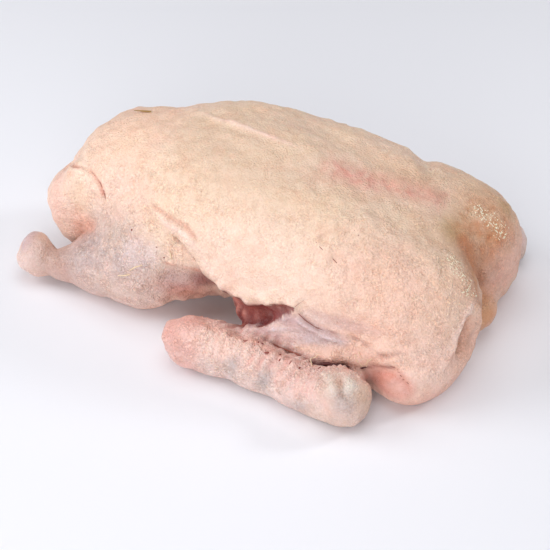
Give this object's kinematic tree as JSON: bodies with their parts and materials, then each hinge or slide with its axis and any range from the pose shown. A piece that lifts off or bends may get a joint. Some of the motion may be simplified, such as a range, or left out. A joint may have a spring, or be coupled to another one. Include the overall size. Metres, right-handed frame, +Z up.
{
  "type": "whole raw goose",
  "caption": "Whole raw goose lying on its back, breast up, legs stretched to the tail and wings folded beside the body.",
  "frame": {"origin": "under the middle of the bird's outer box, on the surface that it lies on", "axes": "+X to the neck end and -X to the tail, +Y to the far side of the picture, +Z up through the breast"},
  "size_m": [0.384, 0.2956, 0.1442],
  "materials": {
    "skin": "moist raw poultry skin"
  },
  "bodies": {
    "root": {"goose": "skin"}
  },
  "joints": []
}
